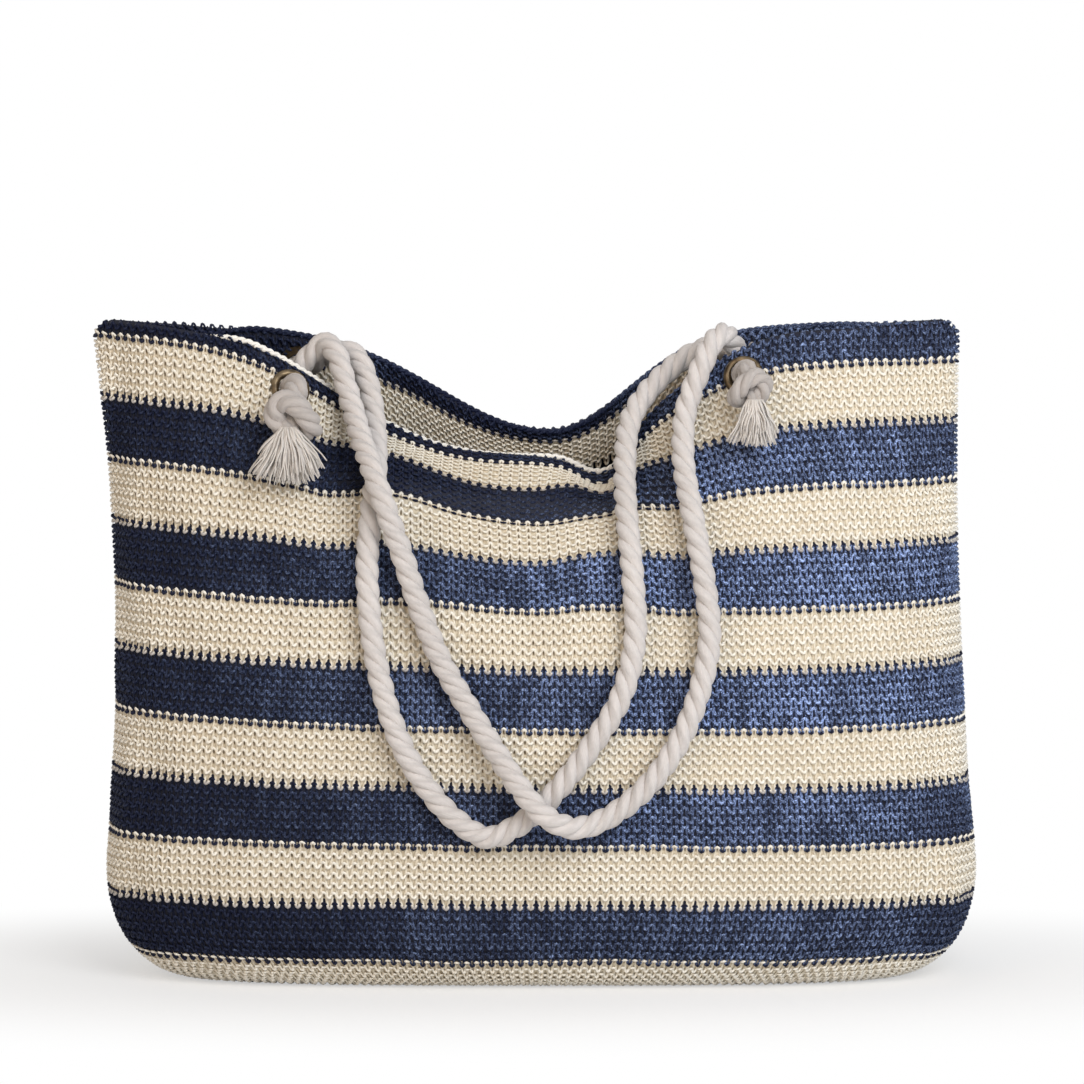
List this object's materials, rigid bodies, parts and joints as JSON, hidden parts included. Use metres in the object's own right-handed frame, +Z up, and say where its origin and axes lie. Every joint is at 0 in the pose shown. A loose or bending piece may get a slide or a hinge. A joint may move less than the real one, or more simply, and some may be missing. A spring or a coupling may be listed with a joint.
{
  "type": "beach bag",
  "caption": "Open-topped knitted beach tote with horizontal stripes, slumped rim, eyelets and knotted twisted-rope shoulder handles that lift from the front",
  "frame": {"origin": "on the ground under the middle of the bag, the ropes left out", "axes": "+X to the right as seen from the front, +Y from the front to the rear, +Z up"},
  "size_m": [0.5296, 0.2021, 0.3961],
  "materials": {
    "knit": "navy and cream striped knit of paper yarn",
    "base": "cream knit of paper yarn",
    "hem": "navy knit of paper yarn",
    "trim": "cream yarn",
    "tape": "woven cotton tape",
    "rope": "twisted off-white cotton rope",
    "knot": "twisted off-white cotton rope",
    "tassel": "frayed off-white cotton",
    "eyelet": "antique bronze"
  },
  "bodies": {
    "bag": {"front_panel": "knit", "rear_panel": "knit", "base_panel": "base", "front_hem": "hem", "rear_hem": "hem", "front_edging": "trim", "rear_edging": "trim", "left_seam_tape": "tape", "right_seam_tape": "tape", "front_left_eyelet": "eyelet", "front_right_eyelet": "eyelet", "rear_left_eyelet": "eyelet", "rear_right_eyelet": "eyelet", "front_left_washer": "eyelet", "front_right_washer": "eyelet", "rear_left_washer": "eyelet", "rear_right_washer": "eyelet", "front_left_bend": "rope", "front_right_bend": "rope", "rear_left_bend": "rope", "rear_right_bend": "rope", "front_left_end": "rope", "front_right_end": "rope", "rear_left_end": "rope", "rear_right_end": "rope", "front_left_knot": "knot", "front_right_knot": "knot", "rear_left_knot": "knot", "rear_right_knot": "knot", "front_left_tassel": "tassel", "front_right_tassel": "tassel", "rear_left_tassel": "tassel", "rear_right_tassel": "tassel"},
    "front_handle": {"front_loop": "rope"},
    "rear_handle": {"rear_loop": "rope"}
  },
  "joints": [
    {"name": "front_handle_lift", "type": "hinge", "parent": "bag", "child": "front_handle", "pos_m": [0, -0.005, 0.378], "axis": [-1, 0, 0], "range_deg": [0, 165], "deforming": ["front_left_bend", "front_right_bend"]},
    {"name": "rear_handle_lift", "type": "hinge", "parent": "bag", "child": "rear_handle", "pos_m": [0, -0.005, 0.378], "axis": [-1, 0, 0], "range_deg": [0, 165], "deforming": ["rear_left_bend", "rear_right_bend"]}
  ],
  "couplings": [
    {"joint": "rear_handle_lift", "follows": "front_handle_lift", "ratio": 1}
  ]
}
